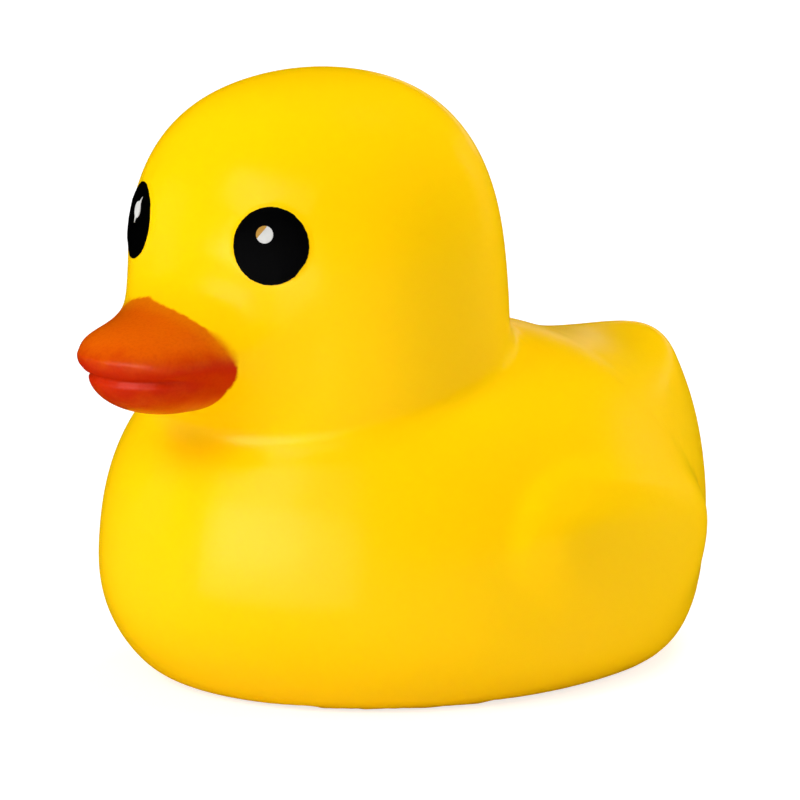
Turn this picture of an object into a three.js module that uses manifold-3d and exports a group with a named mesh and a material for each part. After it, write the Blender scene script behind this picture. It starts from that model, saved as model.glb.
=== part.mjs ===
// Toy duck of soft vinyl, moulded in one piece: an egg-shaped body on a flat base,
// a domed head, an upturned tail, low wings and a parted bill.
// Millimetres. The duck looks along -Y, its left side is +X, and it sits on z = 0.

import * as THREE from "three";
import { mergeVertices, toCreasedNormals } from "three/addons/utils/BufferGeometryUtils.js";
import Module from "manifold-3d";

// Body: an egg lying along Y, cut flat at the base
const bodyHalfWidth = 31.4;
const bodyFront = 35.8;
const bodyBack = 43.2;
const bodyUp = 28.4;
const bodyDown = 21.4;
const bodyHeight = 13.8;
const bodySetBack = 3.6;
const bodyPitch = -5.3;
const bodySquareness = 2.37;
const bodyPlanSquareness = 2.04;

// Head: a dome whose lower part sinks into the body, with a tight crease at the neck
const headTop = 72;
const headHeight = 46.8;
const headHalfWidth = 21.3;
const headFront = 21.7;
const headBack = 21.8;
const headDown = 29;
const headSetBack = -7.85;
const headPitch = 6.3;
const headSquareness = 2.6;
const headPlanSquareness = 2.16;
const neckBlend = 2.5;
const neckSlope = 12.8;

// Tail: a broad blunt point that the back runs out into
const tailHalfWidth = 11.4;
const tailLength = 21.5;
const tailRoot = 20;
const tailRise = 5;
const tailFall = 18.9;
const tailHeight = 23;
const tailSetBack = 31.5;
const tailPitch = 27.9;
const tailSquareness = 2.8;
const tailPlanSquareness = 1.9;
const tailBlend = 13;

// Wings: low swellings on the flanks, blunt in front
const wingLength = 40;
const wingRise = 7.6;
const wingFall = 12;
const wingThickness = 12.6;
const wingInset = 6.4;
const wingHeight = 18.5;
const wingSetBack = 14.5;
const wingTurn = 13;
const wingPitch = -7;
const wingSquareness = 2.2;
const wingPlanSquareness = 2.8;
const wingBlend = 2.4;

// Bill: an upper and a lower half that part at the mouth
const mouthHeight = 41.1;
const billSetOut = 3.6;
const billHalfWidth = 9.5;
const billReach = 11.4;
const billRootDepth = 12;
const billPitch = 1;
const billPlanSquareness = 2.06;
const upperBillBlend = 9.3;
const lowerBillBlend = 4.8;
const upperBillRise = 5.6;
const upperLipHeight = 1.9;
const upperLipFall = 4.8;
const lowerBillFall = 5.7;
const lowerBillInset = 1.4;
const lowerBillShortfall = 0.95;
const lowerLipHeight = 0.4;
const lowerLipRise = 2.5;

// Eyes: low round pads under the black print
const eyeDiameter = 9;
const eyeHeight = 55.5;
const eyeSpacing = 21.4;
const eyeProud = 0.2;

// Base: its rounded rim, and the vent of the moulding behind the middle
const baseRound = 2;
const baseTrim = 0.3;
const ventDiameter = 4;
const ventDepth = 3;
const ventSetBack = 14;

// How far a growth's root lies below the skin that it grows out of
const rootSink = 0.15;

// Fineness: cells along each side of the box that a skin is blown up from, sides of a round bar,
// the stride and the exactness with which a skin is found, and the angle above which an edge looks sharp
const bodyCells = 25;
const headCells = 18;
const tailCells = 13;
const upperBillCells = 16;
const lowerBillCells = 14;
const eyeCells = 14;
const roundSides = 48;
const skinStride = 0.5;
const eyeStride = 0.01;
const skinExactness = 1e-5;
const weldDistance = 1e-4;
const sharpAngle = 40;

const radians = THREE.MathUtils.degToRad;
const almostNothing = 1e-9;
const sideways = new THREE.Vector3(1, 0, 0);
const wasm = await Module();
wasm.setup();

// An egg as a field: below 0 inside, 0 on its skin and about the distance in mm outside.
// Its half sizes differ to the front, back, top and bottom. A squareness of 2 is an ellipse.
function egg({ at, pitch = 0, turn = 0, halfWidth, front, back, up, down, plan = 2, rise = 2 }) {
  const intoEgg = new THREE.Matrix4()
    .makeTranslation(...at)
    .multiply(new THREE.Matrix4().makeRotationZ(radians(turn)))
    .multiply(new THREE.Matrix4().makeRotationX(radians(pitch)))
    .invert();
  const local = new THREE.Vector3();
  return (point) => {
    local.copy(point).applyMatrix4(intoEgg);
    const length = local.y < 0 ? front : back;
    const height = local.z > 0 ? up : down;
    const x = Math.abs(local.x) / halfWidth + almostNothing;
    const y = Math.abs(local.y) / length + almostNothing;
    const z = Math.abs(local.z) / height + almostNothing;
    const level = x ** plan + y ** plan;
    const whole = level ** (rise / plan) + z ** rise;
    const growth = whole ** (1 / rise - 1);
    const spread = growth * level ** (rise / plan - 1);
    const slope = Math.hypot(
      (spread * x ** (plan - 1)) / halfWidth,
      (spread * y ** (plan - 1)) / length,
      (growth * z ** (rise - 1)) / height,
    );
    return (whole ** (1 / rise) - 1) / slope;
  };
}

// Two fields run together, the crease between them filled over a width.
function blend(a, b, width) {
  return (point) => {
    const toA = a(point);
    const toB = b(point);
    const fill = Math.max(width - Math.abs(toA - toB), 0);
    return Math.min(toA, toB) - (fill * fill) / (4 * width);
  };
}

// A field cut off level below a height, the rim rounded over a width.
function levelled(field, height, width) {
  return (point) => {
    const toSkin = field(point);
    const toLevel = height - point.z;
    const fill = Math.max(width - Math.abs(toSkin - toLevel), 0);
    return Math.max(toSkin, toLevel) + (fill * fill) / (4 * width);
  };
}

function solid(geometry) {
  const bare = geometry.clone();
  bare.deleteAttribute("normal");
  bare.deleteAttribute("uv");
  const closed = mergeVertices(bare, weldDistance);
  return new wasm.Manifold(
    new wasm.Mesh({
      numProp: 3,
      vertProperties: new Float32Array(closed.getAttribute("position").array),
      triVerts: new Uint32Array(closed.index.array),
    }),
  );
}

// The solid inside a field: the corners of a box grid, sent out from a heart until they meet the skin.
// The grid can be pitched, so that its rows follow a crease or a form.
function skin(field, heart, cells, pitch = 0) {
  const box = new THREE.BoxGeometry(2, 2, 2, cells, cells, cells);
  const corners = box.getAttribute("position");
  const even = (side) => Math.tan((side * Math.PI) / 4);
  const way = new THREE.Vector3();
  const point = new THREE.Vector3();
  for (let i = 0; i < corners.count; i += 1) {
    way.fromBufferAttribute(corners, i);
    way.set(even(way.x), even(way.y), even(way.z)).normalize().applyAxisAngle(sideways, radians(pitch));
    const inside = (reach) => field(point.copy(heart).addScaledVector(way, reach)) < 0;
    let far = skinStride;
    while (inside(far)) far += skinStride;
    let near = far - skinStride;
    while (far - near > skinExactness) {
      const middle = (near + far) / 2;
      if (inside(middle)) near = middle;
      else far = middle;
    }
    corners.setXYZ(i, point.x, point.y, point.z);
  }
  return solid(box);
}

// A form that grows out of a base with a fillet. Its root is the base as far as a reach round its heart,
// sunk a little below the skin, so that the two solids cross in one clean line where the fillet runs out.
function growth(base, form, width, heart, reach) {
  const root = (point) => Math.max(base(point) + rootSink, point.distanceTo(heart) - reach);
  return blend(root, form, width);
}

const either = (a, b) => (point) => Math.min(a(point), b(point));

const body = egg({
  at: [0, bodySetBack, bodyHeight],
  pitch: bodyPitch,
  halfWidth: bodyHalfWidth,
  front: bodyFront,
  back: bodyBack,
  up: bodyUp,
  down: bodyDown,
  plan: bodyPlanSquareness,
  rise: bodySquareness,
});

const head = egg({
  at: [0, headSetBack, headHeight],
  pitch: headPitch,
  halfWidth: headHalfWidth,
  front: headFront,
  back: headBack,
  up: headTop - headHeight,
  down: headDown,
  plan: headPlanSquareness,
  rise: headSquareness,
});

const tail = egg({
  at: [0, tailSetBack, tailHeight],
  pitch: tailPitch,
  halfWidth: tailHalfWidth,
  front: tailRoot,
  back: tailLength,
  up: tailRise,
  down: tailFall,
  plan: tailPlanSquareness,
  rise: tailSquareness,
});

const leftWing = egg({
  at: [bodyHalfWidth - wingInset, wingSetBack, wingHeight],
  pitch: wingPitch,
  turn: wingTurn,
  halfWidth: wingThickness / 2,
  front: wingLength / 2,
  back: wingLength / 2,
  up: wingRise,
  down: wingFall,
  plan: wingPlanSquareness,
  rise: wingSquareness,
});
const mirrored = new THREE.Vector3();
const wings = (point) => leftWing(mirrored.set(Math.abs(point.x), point.y, point.z));

// The rounded rim starts a little below the base, which then cuts it off flat.
const torso = levelled(body, -baseTrim, baseRound);
const flanks = blend(torso, wings, wingBlend);

const tailHeart = new THREE.Vector3(0, tailLength / 3, 0)
  .applyAxisAngle(sideways, radians(tailPitch))
  .add(new THREE.Vector3(0, tailSetBack, tailHeight));
const grownTail = growth(torso, tail, tailBlend, tailHeart, tailLength + tailBlend);
const rump = either(flanks, grownTail);

const neckHeart = new THREE.Vector3(0, headSetBack, headHeight - headDown / 2);
const grownHead = growth(rump, head, neckBlend, neckHeart, headDown + neckBlend);

const faceFront = headSetBack - headFront;
const billHeart = new THREE.Vector3(0, faceFront + billRootDepth / 3, mouthHeight);
const upperBill = egg({
  at: [0, faceFront - billSetOut, mouthHeight + upperLipHeight],
  pitch: billPitch,
  halfWidth: billHalfWidth,
  front: billReach,
  back: billRootDepth,
  up: upperBillRise - upperLipHeight,
  down: upperLipFall,
  plan: billPlanSquareness,
});
const lowerBill = egg({
  at: [0, faceFront - billSetOut, mouthHeight - lowerLipHeight],
  pitch: billPitch,
  halfWidth: billHalfWidth - lowerBillInset,
  front: billReach - lowerBillShortfall,
  back: billRootDepth,
  up: lowerLipRise,
  down: lowerBillFall - lowerLipHeight,
  plan: billPlanSquareness,
});
const billHalf = (form, width) => growth(head, form, width, billHeart, billHalfWidth + width);

// Each eye pad is the part of a slightly larger head that lies inside a round bar.
const headMiddle = new THREE.Vector3(0, headSetBack, headHeight);
const swollenHead = skin((point) => head(point) - eyeProud, headMiddle, eyeCells);
function eyePad(side) {
  const eye = new THREE.Vector3((side * eyeSpacing) / 2, headSetBack, eyeHeight);
  while (head(eye) < 0) eye.y -= eyeStride;
  const lean = (axis) => head(eye.clone().addScaledVector(axis, eyeStride)) - head(eye);
  const outward = new THREE.Vector3(
    lean(sideways),
    lean(new THREE.Vector3(0, 1, 0)),
    lean(new THREE.Vector3(0, 0, 1)),
  ).normalize();
  const turn = new THREE.Quaternion().setFromUnitVectors(new THREE.Vector3(0, 1, 0), outward);
  const bar = new THREE.CylinderGeometry(eyeDiameter / 2, eyeDiameter / 2, eyeDiameter, roundSides)
    .applyQuaternion(turn)
    .translate(eye.x, eye.y, eye.z);
  return solid(bar).intersect(swollenHead);
}

const belowBase = new THREE.BoxGeometry(4 * bodyHalfWidth, 4 * bodyBack, 2 * bodyDown)
  .translate(0, bodySetBack, -bodyDown);
const vent = new THREE.CylinderGeometry(ventDiameter / 2, ventDiameter / 2, 2 * ventDepth, roundSides)
  .rotateX(Math.PI / 2)
  .translate(0, ventSetBack, 0);

const bodyHeart = new THREE.Vector3(0, bodySetBack, bodyHeight);
const duck = skin(flanks, bodyHeart, bodyCells)
  .add(skin(grownTail, tailHeart, tailCells, tailPitch))
  .add(skin(grownHead, neckHeart, headCells, neckSlope))
  .add(skin(billHalf(upperBill, upperBillBlend), billHeart, upperBillCells))
  .add(skin(billHalf(lowerBill, lowerBillBlend), billHeart, lowerBillCells))
  .add(eyePad(1))
  .add(eyePad(-1))
  .subtract(solid(belowBase))
  .subtract(solid(vent));

const moulded = duck.getMesh();
const geometry = new THREE.BufferGeometry();
geometry.setAttribute("position", new THREE.BufferAttribute(moulded.vertProperties, 3));
geometry.setIndex(new THREE.BufferAttribute(moulded.triVerts, 1));

const vinyl = new THREE.MeshStandardMaterial({ color: 0xffd400, roughness: 0.45, metalness: 0 });
const duckBody = new THREE.Mesh(toCreasedNormals(geometry, radians(sharpAngle)), vinyl);
duckBody.name = "duck_body";

const toy = new THREE.Group();
toy.add(duckBody);
export default toy;
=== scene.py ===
# Looks of the toy duck: satin yellow vinyl, a sprayed bill and printed eyes, in a plain white studio.
import math

import bpy
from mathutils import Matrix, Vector


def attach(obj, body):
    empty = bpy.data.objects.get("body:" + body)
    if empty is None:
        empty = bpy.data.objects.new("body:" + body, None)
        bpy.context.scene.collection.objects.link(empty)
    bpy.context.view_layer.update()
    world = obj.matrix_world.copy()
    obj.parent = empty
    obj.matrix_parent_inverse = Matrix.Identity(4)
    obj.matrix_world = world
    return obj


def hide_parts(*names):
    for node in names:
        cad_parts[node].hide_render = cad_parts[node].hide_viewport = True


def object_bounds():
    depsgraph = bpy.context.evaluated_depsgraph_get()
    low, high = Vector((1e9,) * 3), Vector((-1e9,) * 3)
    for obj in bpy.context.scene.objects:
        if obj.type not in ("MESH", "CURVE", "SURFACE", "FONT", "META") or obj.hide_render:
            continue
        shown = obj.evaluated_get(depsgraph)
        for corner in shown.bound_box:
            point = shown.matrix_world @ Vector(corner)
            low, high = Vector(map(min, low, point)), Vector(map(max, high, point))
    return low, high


mm = 0.001
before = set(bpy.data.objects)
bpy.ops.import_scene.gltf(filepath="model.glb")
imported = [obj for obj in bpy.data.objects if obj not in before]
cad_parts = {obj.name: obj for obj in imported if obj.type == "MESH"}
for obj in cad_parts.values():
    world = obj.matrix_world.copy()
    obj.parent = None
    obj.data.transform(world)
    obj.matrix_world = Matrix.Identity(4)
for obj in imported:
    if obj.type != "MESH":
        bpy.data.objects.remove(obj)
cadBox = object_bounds()
print("frame:", ", ".join(sorted(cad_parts)))


def selectOnly(piece):
    bpy.ops.object.select_all(action="DESELECT")
    piece.select_set(True)
    bpy.context.view_layer.objects.active = piece


def openMesh(piece):
    selectOnly(piece)
    bpy.ops.object.mode_set(mode="EDIT")
    bpy.ops.mesh.select_all(action="SELECT")


def closeMesh():
    bpy.ops.object.mode_set(mode="OBJECT")


def applyModifier(piece, kind, **settings):
    modifier = piece.modifiers.new(kind.lower(), kind)
    for name, value in settings.items():
        setattr(modifier, name, value)
    selectOnly(piece)
    bpy.ops.object.modifier_apply(modifier=modifier.name)


# Degrees round from the duck's front towards its left, and degrees up
def direction(azimuth, elevation):
    turn, lift = math.radians(azimuth), math.radians(elevation)
    return Vector((math.sin(turn) * math.cos(lift), -math.cos(turn) * math.cos(lift), math.sin(lift)))


# The camera of the photograph: a long lens, a little above the duck and to its left
photoView = {
    "from": (42.96, 10.98),
    "distance": 1326.55 * mm,
    "lookAt": Vector((3.03, 2.82, 32.13)) * mm,
    "lens": 509.2,  # in millimetres, as Blender takes it
    "sensor": 36,
}


def placeCamera(view):
    back = direction(*view["from"])
    bpy.ops.object.camera_add(location=view["lookAt"] + back * view["distance"])
    camera = bpy.context.object
    camera.rotation_euler = (-back).to_track_quat("-Z", "Y").to_euler()
    camera.data.lens = view["lens"]
    camera.data.sensor_width = view["sensor"]
    bpy.context.scene.camera = camera


placeCamera(photoView)
print("camera placed")


# Nodes are laid out in columns as they are made, so that the trees open readably
nodeGrid = (200, 180)


def addNode(tree, kind, column=0, row=0, **inputs):
    node = tree.nodes.new(kind)
    node.location = (column * nodeGrid[0], -row * nodeGrid[1])
    for name, value in inputs.items():
        setInput(tree, node, name, value)
    return node


def setInput(tree, node, name, value):
    socket = node.inputs[int(name)] if name.isdigit() else node.inputs[name]
    if isinstance(value, bpy.types.NodeSocket):
        tree.links.new(value, socket)
    else:
        socket.default_value = value


def calc(tree, operation, a, b=0.0, c=0.0, column=0, row=0):
    node = addNode(tree, "ShaderNodeMath", column, row)
    node.operation = operation
    for name, value in zip("012", (a, b, c)):
        setInput(tree, node, name, value)
    return node.outputs[0]


def ramp(tree, value, low, high, column=0, row=0):
    node = addNode(tree, "ShaderNodeMapRange", column, row)
    node.interpolation_type = "SMOOTHSTEP"
    setInput(tree, node, "Value", value)
    setInput(tree, node, "From Min", low)
    setInput(tree, node, "From Max", high)
    return node.outputs["Result"]


def noise(tree, place, scale, column=0, row=0):
    return addNode(tree, "ShaderNodeTexNoise", column, row, Vector=place, Scale=scale).outputs["Fac"]


def mixColor(tree, share, a, b, column=0, row=0):
    node = addNode(tree, "ShaderNodeMix", column, row)
    node.data_type = "RGBA"
    setInput(tree, node, "0", share)
    setInput(tree, node, "6", a)
    setInput(tree, node, "7", b)
    return node.outputs[2]


def newMaterial(name):
    material = bpy.data.materials.new(name)
    material.use_nodes = True
    return material, material.node_tree, material.node_tree.nodes["Principled BSDF"]


# Surface of moulded vinyl and of ink on it: a soft orange peel and uneven gloss
peelSurface = {
    "height": 0.1 * mm,
    "cloudScale": 0.12 / mm,  # of the uneven gloss
}


def buildPeelGroup():
    group = bpy.data.node_groups.new("vinylPeel", "ShaderNodeTree")
    for name in ("Peel Size", "Gloss", "Gloss Spread"):
        group.interface.new_socket(name=name, in_out="INPUT", socket_type="NodeSocketFloat")
    for name in ("Height", "Roughness"):
        group.interface.new_socket(name=name, in_out="OUTPUT", socket_type="NodeSocketFloat")
    ends = addNode(group, "NodeGroupInput", 0)
    place = addNode(group, "ShaderNodeTexCoord", 0, 1)
    scale = calc(group, "DIVIDE", 1 / mm, ends.outputs["Peel Size"], column=1)
    peel = noise(group, place.outputs["Object"], scale, 2, 0)
    cloud = noise(group, place.outputs["Object"], peelSurface["cloudScale"], 2, 1)
    swing = calc(group, "MULTIPLY_ADD", cloud, ends.outputs["Gloss Spread"], ends.outputs["Gloss"], 3, 1)
    out = addNode(group, "NodeGroupOutput", 4)
    setInput(group, out, "Height", peel)
    setInput(group, out, "Roughness", swing)
    return group


peelGroup = buildPeelGroup()


def addPeel(tree, shader, finish):
    peel = addNode(tree, "ShaderNodeGroup", -3, 2)
    peel.node_tree = peelGroup
    peel.inputs["Peel Size"].default_value = finish["peelSize"]
    peel.inputs["Gloss"].default_value = finish["gloss"]
    peel.inputs["Gloss Spread"].default_value = finish["glossSpread"]
    relief = addNode(tree, "ShaderNodeBump", -1, 3, Height=peel.outputs["Height"], Strength=finish["bump"])
    relief.inputs["Distance"].default_value = peelSurface["height"]
    setInput(tree, shader, "Roughness", peel.outputs["Roughness"])
    setInput(tree, shader, "Normal", relief.outputs["Normal"])
    shader.inputs["Specular IOR Level"].default_value = finish["sheen"]


vinyl = {
    "yellow": (1.0, 0.59, 0.0, 1),
    "deepYellow": (1.0, 0.565, 0.0, 1),
    "cloudScale": 0.05,  # of the drift from one yellow to the other, per mm
    "sheen": 0.07,  # specular level of a satin skin
    "gloss": 0.2,  # least roughness
    "glossSpread": 0.06,
    "peelSize": 0.9,  # mm
    "bump": 0.08,
    "glow": 0.2,  # share of light that travels under the skin
    "glowReach": (1.8 * mm, 0.8 * mm, 0.15 * mm),
}

# Spray on the bill. With h for the height over the mouth and p for (x - peakAt) / peakWidth, the mask's edge
# crosses the bill where y is edge + slant * x + bow * x^2 + lean * h + sag * h^2 + twist * x * h
# + peak / (1 + p^2), all in millimetres. Pairs are the two ends of a fade.
billSpray = {
    "thin": (0.68, 0.15, 0.0, 1),  # towards the cheeks
    "full": (0.66, 0.1, 0.0, 1),
    "mouthRedAndShade": (0.5, 0.018, 0.0, 1),  # deeper, darker red along the mouth: partly the spray's own red, partly painted shade of the mouth's crease
    "speck": (0.93, 0.86, 1.0, 1),  # tint of the finest specks
    "mouth": 41.1,
    "under": 0.42,  # the deep red and its painted shade fade more slowly under the mouth
    "mouthRedAndShadeFade": (5.0, 1.6),  # distances from the mouth
    "thinFade": (2.8, 0.0),  # distances inside the mask's edge
    "thinAbove": (42.0, 44.0),
    "edge": -32.54,
    "slant": 0.027,
    "bow": 0.0063,
    "lean": -0.0613,
    "sag": -0.0119,
    "twist": -0.0351,
    "peak": 0.33,  # the mask had a small point here
    "peakAt": -3.9,
    "peakWidth": 1.5,
    "chin": (33.0, 34.0),
    "crisp": 0.22,  # half width of the edge on the bridge
    "fuzzy": 1.0,  # and on the cheeks, where the spray drifted
    "fuzzyAside": (6.5, 9.0),
    "fuzzyAbove": (41.5, 43.5),
    "ragged": 0.5,
    "raggedScale": 1.1,  # per mm, as the next two are
    "mottleScale": 0.35,
    "speckScale": 2.8,
    "mottle": 2.5,  # how far the deep red and its painted shade wander
    "speckFade": (0.35, 0.75),
}


def sprayDepth(tree, x, y, z, spray, grain):
    height = calc(tree, "SUBTRACT", z, spray["mouth"], column=-10, row=0)
    leaning = calc(tree, "MULTIPLY_ADD", height, spray["sag"], spray["lean"], -9, 0)
    twisted = calc(tree, "MULTIPLY_ADD", x, spray["twist"], leaning, -8, 0)
    bowed = calc(tree, "MULTIPLY_ADD", x, spray["bow"], spray["slant"], -8, 1)
    edge = calc(tree, "MULTIPLY_ADD", height, twisted, spray["edge"], -7, 0)
    edge = calc(tree, "MULTIPLY_ADD", x, bowed, edge, -6, 0)
    fromPeak = calc(tree, "SUBTRACT", x, spray["peakAt"], 0, -10, 2)
    aside = calc(tree, "DIVIDE", fromPeak, spray["peakWidth"], 0, -9, 2)
    falloff = calc(tree, "MULTIPLY_ADD", aside, aside, 1.0, -8, 2)
    peak = calc(tree, "DIVIDE", spray["peak"], falloff, 0, -7, 2)
    edge = calc(tree, "ADD", edge, peak, 0, -6, 1)
    ragged = calc(tree, "MULTIPLY_ADD", grain, spray["ragged"], edge, -5, 0)
    return calc(tree, "SUBTRACT", ragged, calc(tree, "ADD", y, spray["ragged"] / 2, 0, -5, 1), 0, -4, 0)


def sprayMask(tree, depth, x, z, spray):
    aside = ramp(tree, calc(tree, "ABSOLUTE", x, column=-6, row=3), *spray["fuzzyAside"], -5, 3)
    above = ramp(tree, z, *spray["fuzzyAbove"], -5, 4)
    spread = calc(tree, "MULTIPLY", aside, above, 0, -4, 3)
    width = calc(tree, "MULTIPLY_ADD", spread, spray["fuzzy"] - spray["crisp"], spray["crisp"], -3, 3)
    covered = ramp(tree, depth, calc(tree, "MULTIPLY", width, -1.0, 0, -2, 3), width, -1, 1)
    return calc(tree, "MULTIPLY", covered, ramp(tree, z, *spray["chin"], -2, 4), 0, 0, 1)


def makeVinyl():
    material, tree, shader = newMaterial("satin_vinyl")
    place = addNode(tree, "ShaderNodeTexCoord", -13)
    inMm = addNode(tree, "ShaderNodeVectorMath", -12)
    inMm.operation = "SCALE"
    setInput(tree, inMm, "0", place.outputs["Object"])
    inMm.inputs["Scale"].default_value = 1 / mm
    point = inMm.outputs[0]
    axes = addNode(tree, "ShaderNodeSeparateXYZ", -11, 0, Vector=point)
    x, y, z = axes.outputs
    grain = noise(tree, point, billSpray["raggedScale"], -11, 3)
    cloud = noise(tree, point, vinyl["cloudScale"], -11, 5)
    patch = noise(tree, point, billSpray["mottleScale"], -11, 7)
    speck = noise(tree, point, billSpray["speckScale"], -11, 9)
    skin = mixColor(tree, cloud, vinyl["yellow"], vinyl["deepYellow"], -2, 6)
    depth = sprayDepth(tree, x, y, z, billSpray, grain)
    overMouth = calc(tree, "SUBTRACT", z, billSpray["mouth"], 0, -9, 6)
    underMouth = calc(tree, "MULTIPLY", overMouth, -billSpray["under"], 0, -8, 6)
    fromMouth = calc(tree, "MAXIMUM", overMouth, underMouth, 0, -7, 6)
    mottled = calc(tree, "MULTIPLY_ADD", patch, billSpray["mottle"], fromMouth, -6, 6)
    # Towards the mouth the spray turns a deeper, darker red: partly its own red, partly painted shade of the
    # mouth's crease
    mouthRedAndShade = ramp(tree, mottled, *billSpray["mouthRedAndShadeFade"], -5, 6)
    paint = mixColor(tree, mouthRedAndShade, billSpray["full"], billSpray["mouthRedAndShade"], -4, 7)
    nearEdge = ramp(tree, depth, *billSpray["thinFade"], -5, 8)
    above = ramp(tree, z, *billSpray["thinAbove"], -5, 9)
    drift = calc(tree, "MULTIPLY", nearEdge, above, 0, -4, 8)
    paint = mixColor(tree, drift, paint, billSpray["thin"], -2, 7)
    specks = ramp(tree, speck, *billSpray["speckFade"], -3, 10)
    speckled = mixColor(tree, specks, (1, 1, 1, 1), billSpray["speck"], -2, 9)
    paint = mixColor(tree, 1.0, paint, speckled, -1, 7)
    paint.node.blend_type = "MULTIPLY"
    mask = sprayMask(tree, depth, x, z, billSpray)
    setInput(tree, shader, "Base Color", mixColor(tree, mask, skin, paint, 1, 0))
    addPeel(tree, shader, vinyl)
    shader.inputs["Subsurface Weight"].default_value = vinyl["glow"]
    shader.inputs["Subsurface Radius"].default_value = vinyl["glowReach"]
    shader.inputs["Subsurface Scale"].default_value = 1.0
    return material


ink = {
    "black": (0.0005, 0.0005, 0.0006),
    "white": (0.62, 0.62, 0.6),
    "bare": (0.46, 0.25, 0.05),  # skin that the white missed, darkened to a tan: painted shade
    "thinShade": 0.82,  # shade of the thinnest places
    "cloudScale": 0.9 / mm,
    "sheen": 0.004,
    "gloss": 0.28,
    "glossSpread": 0.1,
    "peelSize": 0.5,  # mm
    "bump": 0.05,
}


def makeInk(name, color):
    material, tree, shader = newMaterial(name)
    place = addNode(tree, "ShaderNodeTexCoord", -6)
    cloud = noise(tree, place.outputs["Object"], ink["cloudScale"], -5, 0)
    thin = tuple(ink["thinShade"] * part for part in color) + (1,)
    setInput(tree, shader, "Base Color", mixColor(tree, cloud, thin, color + (1,), -2))
    addPeel(tree, shader, ink)
    return material


vinylYellow = makeVinyl()
inkBlack = makeInk("eye_ink", ink["black"])
inkWhite = makeInk("dot_ink", ink["white"])
shadedBareDot = makeInk("bare_dot_shaded", ink["bare"])
print("materials made")


# The moulding: the solid's own skin, rounded off to one smooth surface that is finest on the bill
moulding = {
    "weld": 0.002 * mm,
    "rounding": 2,  # subdivisions that take the facets off
    "crease": 50,  # degrees above which an edge stays sharp
    "voxel": 0.3 * mm,
    "smoothShare": 0.5,  # how far towards its neighbours a pass moves a point
    "skinSmoothing": 2,  # passes over the whole skin
    "bodySmoothing": 4,  # and more behind the bill, whose mouth stays crisp
    "cornerSmoothing": 40,  # and at the corners of the mouth, where the lips run together
    "billRoot": -36.0 * mm,  # y where the skin behind the bill begins to count as body
    "cheek": -30.0 * mm,  # and where it fully does
    "thinning": 0.3,  # share of faces kept, with those behind the bill taken
}

# The mouth: a fine line between the lips, which closes towards the corners, under a rounded upper lip
mouth = {
    "height": 40.5 * mm,
    "halfWidth": 0.3 * mm,
    "depth": 0.35 * mm,
    "corner": -37.0 * mm,  # y where the line has closed
    "cornerSide": 4.0 * mm,  # a corner is at least this far from the plane of symmetry
    "fade": 2.5 * mm,
    "lipRise": 1.4 * mm,
    "lipWidth": 0.6 * mm,
    "lipSwell": 0.16 * mm,
}

# The neck: a crease in a plane that rises backwards, where the head is set into the body
neck = {
    "height": 37.75 * mm,  # over the origin
    "slope": 0.215,
    "back": 12.0 * mm,  # y where it has run out
    "fade": 12.0 * mm,
    "halfWidth": 1.5 * mm,
    "depth": 0.32 * mm,
}

# The wing's rim: a soft ridge that starts low at the front, turns over the top and runs out backwards
wingRim = {
    "middle": (4.0 * mm, 18.5 * mm),  # y and z the front arc is drawn about
    "arc": (9.5 * mm, 8.2 * mm),
    "slope": -0.2,  # of the top edge behind the arc
    "halfWidth": 1.5 * mm,
    "swell": 0.4 * mm,
    "foot": (14.0 * mm, 19.0 * mm),  # heights between which it rises out of the flank
    "fade": 22.0 * mm,  # length over which it runs out behind the arc
    "flank": 18.0 * mm,  # smallest distance from the plane of symmetry
}


def clamp(share):
    return min(max(share, 0), 1)


def bell(distance, halfWidth):
    return math.exp(-(distance / halfWidth) ** 2)


def weigh(piece, name, shareAt):
    group = piece.vertex_groups.new(name=name)
    for vertex in piece.data.vertices:
        group.add([vertex.index], clamp(shareAt(vertex.co)), "REPLACE")
    return group.name


def behindBill(place):
    return (place.y - moulding["billRoot"]) / (moulding["cheek"] - moulding["billRoot"])


def beforeCorner(place):
    return clamp((mouth["corner"] - place.y) / mouth["fade"])


def inMouth(place):
    return beforeCorner(place) * bell(place.z - mouth["height"], mouth["halfWidth"])


def onLip(place):
    return beforeCorner(place) * bell(place.z - mouth["height"] - mouth["lipRise"], mouth["lipWidth"])


def atCorner(place):
    aside = abs(place.x) > mouth["cornerSide"]
    return (1 - beforeCorner(place)) * (place.y < moulding["cheek"]) * aside


def inNeck(place):
    fade = clamp((neck["back"] - place.y) / neck["fade"])
    return fade * bell(place.z - neck["height"] - neck["slope"] * place.y, neck["halfWidth"])


def onWingRim(place):
    if abs(place.x) < wingRim["flank"]:
        return 0.0
    along, up = place.y - wingRim["middle"][0], place.z - wingRim["middle"][1]
    if along < 0:
        reach = math.hypot(along / wingRim["arc"][0], up / wingRim["arc"][1])
        off, share = (reach - 1) * sum(wingRim["arc"]) / 2, 1.0
    else:
        off = up - wingRim["arc"][1] - wingRim["slope"] * along
        share = max(1 - along / wingRim["fade"], 0)
    low, high = wingRim["foot"]
    return clamp((place.z - low) / (high - low)) * share * bell(off, wingRim["halfWidth"])


def smooth(piece, passes, group=""):
    applyModifier(piece, "SMOOTH", factor=moulding["smoothShare"], iterations=passes, vertex_group=group)


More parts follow.
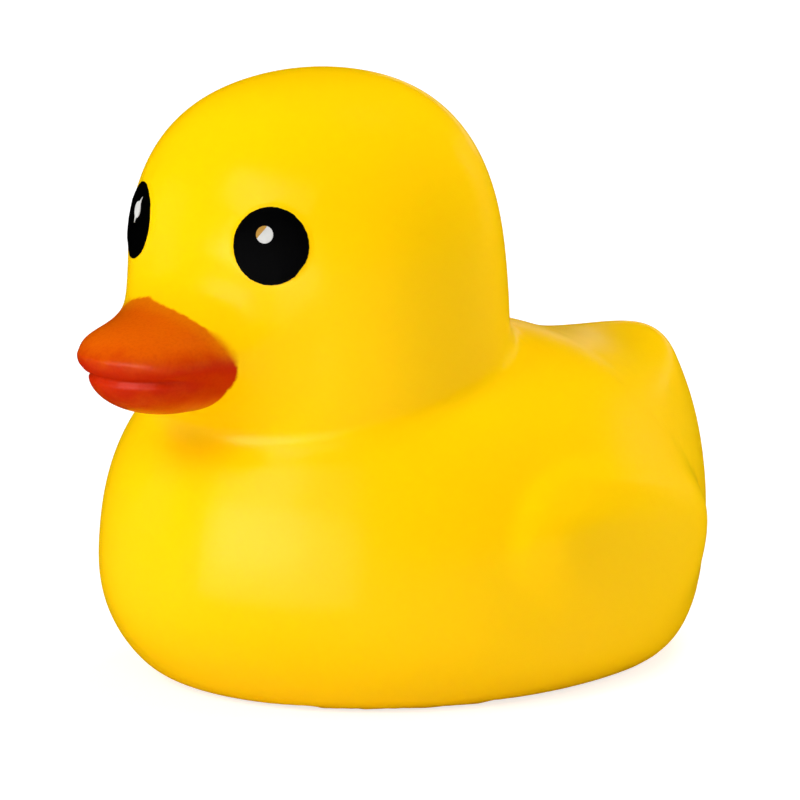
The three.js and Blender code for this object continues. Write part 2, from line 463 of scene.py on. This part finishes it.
def makeMoulding(settings):
    duck = bpy.data.objects.new("vinyl_duck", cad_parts["duck_body"].data.copy())
    bpy.context.scene.collection.objects.link(duck)
    openMesh(duck)
    bpy.ops.mesh.remove_doubles(threshold=settings["weld"])
    bpy.ops.mesh.tris_convert_to_quads()
    bpy.ops.mesh.select_mode(type="EDGE")
    bpy.ops.mesh.select_all(action="DESELECT")
    bpy.ops.mesh.edges_select_sharp(sharpness=math.radians(settings["crease"]))
    bpy.ops.transform.edge_crease(value=1.0)
    closeMesh()
    applyModifier(duck, "SUBSURF", levels=settings["rounding"], render_levels=settings["rounding"])
    applyModifier(duck, "REMESH", mode="VOXEL", voxel_size=settings["voxel"])
    smooth(duck, settings["skinSmoothing"])
    back = weigh(duck, "behind_bill", behindBill)
    smooth(duck, settings["bodySmoothing"], back)
    corner = weigh(duck, "mouth_corner", atCorner)
    smooth(duck, settings["cornerSmoothing"], corner)
    line = weigh(duck, "mouth", inMouth)
    lip = weigh(duck, "lip", onLip)
    crease = weigh(duck, "neck", inNeck)
    rim = weigh(duck, "wing_rim", onWingRim)
    for group, height in ((line, -mouth["depth"]), (lip, mouth["lipSwell"]),
                          (crease, -neck["depth"]), (rim, wingRim["swell"])):
        applyModifier(duck, "DISPLACE", strength=height, mid_level=0.0, vertex_group=group)
    applyModifier(duck, "DECIMATE", ratio=settings["thinning"], vertex_group=back)
    bpy.ops.object.shade_smooth()
    duck.data.materials.clear()
    duck.data.materials.append(vinylYellow)
    return duck


duck = makeMoulding(moulding)
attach(duck, "root")
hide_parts("duck_body")
print("moulding:", len(duck.data.polygons), "faces")


# Eyes: a black disc printed on the head, with a white dot over it. The white of the left dot was
# printed a little off and leaves a slip of bare skin, and the white of the right one ran at two places.
eyePrint = {
    "diameter": 9.0 * mm,
    "left": (10.7 * mm, 55.35 * mm),  # x and z of the middle
    "right": (-11.25 * mm, 55.75 * mm),
    "inFront": 20.0 * mm,  # the head is looked for from this far before the bill
    "clear": 1.0 * mm,  # the discs start this far off the head and are then laid on it
    "lift": 0.08 * mm,
    "thickness": 0.25 * mm,
    "corners": 96,
    "cuts": 6,
    "smoothAngle": 40,  # degrees
    "chip": (-37, 0.96),  # where the left print missed: direction in degrees, and share of the radius
    "wobble": 0.035 * mm,
    "wobbleSeed": 3,
}
dotPrint = {
    "left": {"diameter": 2.03 * mm, "bare": (142, 0.4), "runs": ()},
    "right": {"diameter": 1.95 * mm, "bare": None, "runs": ((63, 0.9 * mm), (-105, 0.7 * mm))},
    "at": (0.68 * mm, 1.29 * mm),  # towards the bill, and up
    "lift": 0.16 * mm,
    "runWidth": 0.35 * mm,
    "wobble": 0.012 * mm,
}


def onHead(x, z):
    start = Vector((x, cadBox[0].y - eyePrint["inFront"], z))
    return duck.ray_cast(start, Vector((0, 1, 0)))[1:3]


def addCircle(name, centre, outward, diameter):
    bpy.ops.object.select_all(action="DESELECT")
    bpy.ops.mesh.primitive_circle_add(
        vertices=eyePrint["corners"], radius=diameter / 2, fill_type="NGON",
        location=centre + outward * eyePrint["clear"], rotation=outward.to_track_quat("Z", "Y").to_euler())
    disc = bpy.context.object
    disc.name = name
    bpy.context.view_layer.update()
    return disc


def onDisc(disc, degrees, distance):
    turn = math.radians(degrees)
    outwards = Vector((math.cos(turn), math.sin(turn), 0))
    return disc.matrix_world @ (outwards * distance), disc.matrix_world.to_3x3() @ outwards


def cutEdge(disc, degrees, distance, clear):
    place, outwards = onDisc(disc, degrees, distance)
    openMesh(disc)
    bpy.ops.mesh.bisect(plane_co=place, plane_no=outwards, clear_outer=clear)
    closeMesh()


def roughenEdge(disc, wobble):
    openMesh(disc)
    bpy.ops.transform.vertex_random(offset=wobble, uniform=1.0, seed=eyePrint["wobbleSeed"])
    closeMesh()


def pullRun(disc, degrees, length):
    outwards = onDisc(disc, degrees, 0)[1]
    openMesh(disc)
    bpy.ops.mesh.select_all(action="DESELECT")
    closeMesh()
    nearest = max(disc.data.vertices, key=lambda point: (disc.matrix_world @ point.co).dot(outwards))
    nearest.select = True
    bpy.ops.object.mode_set(mode="EDIT")
    bpy.ops.transform.translate(
        value=outwards * length, use_proportional_edit=True,
        proportional_edit_falloff="SHARP", proportional_size=dotPrint["runWidth"])
    closeMesh()


def printDisc(disc, lift):
    openMesh(disc)
    bpy.ops.mesh.poke()
    bpy.ops.mesh.subdivide(number_cuts=eyePrint["cuts"])
    closeMesh()
    applyModifier(
        disc, "SHRINKWRAP", target=duck, wrap_method="PROJECT", use_project_z=True,
        use_negative_direction=True, use_positive_direction=True, offset=lift)
    applyModifier(disc, "SOLIDIFY", thickness=eyePrint["thickness"], offset=-1)
    bpy.ops.object.transform_apply(location=True, rotation=True, scale=True)
    bpy.ops.object.shade_smooth_by_angle(angle=math.radians(eyePrint["smoothAngle"]))
    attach(disc, "root")


# The slip of bare skin is coloured a darker tan than the skin around it: painted shade
def paintBare(disc, place, outwards):
    disc.data.materials.append(shadedBareDot)
    for face in disc.data.polygons:
        if (face.center - place).dot(outwards) > 0:
            face.material_index = 1


for sideName, side in (("left", 1), ("right", -1)):
    centre, outward = onHead(*eyePrint[sideName])
    eye = addCircle("eye_" + sideName, centre, outward, eyePrint["diameter"])
    if sideName == "left":
        chipAt, chipShare = eyePrint["chip"]
        cutEdge(eye, chipAt, chipShare * eyePrint["diameter"] / 2, clear=True)
    roughenEdge(eye, eyePrint["wobble"])
    printDisc(eye, eyePrint["lift"])
    eye.data.materials.append(inkBlack)

    across = Vector((0, 0, 1)).cross(outward).normalized()
    upward = outward.cross(across)
    white = dotPrint[sideName]
    dotCentre = centre - across * side * dotPrint["at"][0] + upward * dotPrint["at"][1]
    dot = addCircle("eye_dot_" + sideName, dotCentre, outward, white["diameter"])
    for runAt, runLength in white["runs"]:
        pullRun(dot, runAt, runLength)
    if white["bare"]:
        bareAt, bareShare = white["bare"]
        bareReach = bareShare * white["diameter"] / 2
        bareEdge = onDisc(dot, bareAt, bareReach)
        cutEdge(dot, bareAt, bareReach, clear=False)
    roughenEdge(dot, dotPrint["wobble"])
    printDisc(dot, dotPrint["lift"])
    dot.data.materials.append(inkWhite)
    if white["bare"]:
        paintBare(dot, *bareEdge)
print("eyes printed")


# A white table in a white room. The camera sees both as white, and they light the duck only a little.
studio = {
    "world": 0.25,
    "tableSize": 8.0,
    "tableGlow": 0.72,  # as the camera sees it
    "tableWhite": 0.45,
    "tableLift": 0.148,  # as it lights the duck's underside
    "tableBounce": 0.85,
    "aim": Vector((0, 0, 35.0 * mm)),  # what the lamps point at
}
# Lamps are soft boxes, placed and sized in metres. Those seen as diffuse light the skin only, and those seen
# as glossy show in its sheen only.
lamps = {
    "key": {"from": (0, 35), "distance": 1.2, "size": (0.5, 0.5), "power": 7.6, "seen": "diffuse"},
    "side": {"from": (30, 35), "distance": 1.2, "size": (0.5, 0.5), "power": 2.85, "seen": "diffuse"},
    "fill": {"from": (120, 35), "distance": 1.2, "size": (0.5, 0.5), "power": 1.6, "seen": "diffuse"},
    "top": {"from": (180, 62), "distance": 1.2, "size": (0.5, 0.5), "power": 7.0, "seen": "diffuse"},
    "back": {"from": (180, 8), "distance": 1.2, "size": (0.5, 0.5), "power": 7.2, "seen": "diffuse"},
    "left": {"from": (-60, 8), "distance": 1.2, "size": (0.5, 0.5), "power": 4.0, "seen": "diffuse"},
    "brow": {"from": (-6, 36), "distance": 1.0, "size": (0.7, 0.4), "power": 2.9, "seen": "glossy"},
    "card": {"from": (12, -3), "distance": 0.14, "size": (0.18, 0.09), "power": 0.3, "seen": "glossy"},
    "glint": {"from": (4, 4), "distance": 0.14, "size": (0.1, 0.06), "power": 0.11, "seen": "glossy"},
    "rim": {"from": (-150, 4), "distance": 1.2, "size": (0.45, 0.07), "power": 0.085, "seen": "glossy"},
}


def glowAndWhite(tree, strength, white, column, row):
    glow = addNode(tree, "ShaderNodeEmission", column, row, Strength=strength)
    paint = addNode(tree, "ShaderNodeBsdfDiffuse", column, row + 1, Color=(white, white, white, 1))
    both = addNode(tree, "ShaderNodeAddShader", column + 1, row)
    setInput(tree, both, "0", glow.outputs[0])
    setInput(tree, both, "1", paint.outputs[0])
    return both.outputs[0]


def makeTable():
    bpy.ops.object.select_all(action="DESELECT")
    bpy.ops.mesh.primitive_plane_add(size=studio["tableSize"], location=(0, 0, 0))
    table = bpy.context.object
    table.name = "table"
    material, tree = newMaterial("white_table")[:2]
    tree.nodes.clear()
    light = addNode(tree, "ShaderNodeLightPath", 0)
    shown = glowAndWhite(tree, studio["tableGlow"], studio["tableWhite"], 0, 2)
    lighting = glowAndWhite(tree, studio["tableLift"], studio["tableBounce"], 0, 4)
    direct, through = light.outputs["Is Camera Ray"], light.outputs["Is Transmission Ray"]
    lit = addNode(tree, "ShaderNodeMixShader", 2, 1)
    setInput(tree, lit, "0", calc(tree, "MAXIMUM", direct, through, 0, 1, 0))
    setInput(tree, lit, "1", lighting)
    setInput(tree, lit, "2", shown)
    out = addNode(tree, "ShaderNodeOutputMaterial", 3, 1)
    setInput(tree, out, "Surface", lit.outputs[0])
    table.data.materials.append(material)
    table.visible_glossy = False


def hangLamp(name, lamp):
    away = direction(*lamp["from"])
    bpy.ops.object.light_add(type="AREA", location=studio["aim"] + away * lamp["distance"])
    box = bpy.context.object
    box.name = name + "_light"
    box.rotation_euler = away.to_track_quat("Z", "Y").to_euler()
    box.data.shape = "RECTANGLE"
    box.data.size, box.data.size_y = lamp["size"]
    box.data.energy = lamp["power"]
    box.visible_camera = False
    box.visible_diffuse = lamp["seen"] == "diffuse"
    box.visible_glossy = lamp["seen"] == "glossy"


def lightWorld():
    world = bpy.data.worlds.new("studio")
    world.use_nodes = True
    tree = world.node_tree
    sky = tree.nodes["Background"]
    sky.inputs["Color"].default_value = (1, 1, 1, 1)
    light = addNode(tree, "ShaderNodeLightPath", -4)
    strength = calc(tree, "MAXIMUM", light.outputs["Is Camera Ray"], studio["world"], 0, -2)
    setInput(tree, sky, "Strength", strength)
    world.cycles_visibility.glossy = False
    bpy.context.scene.world = world


makeTable()
for name, lamp in lamps.items():
    hangLamp(name, lamp)
lightWorld()
bpy.context.scene.view_settings.view_transform = "Standard"
print("studio lit")
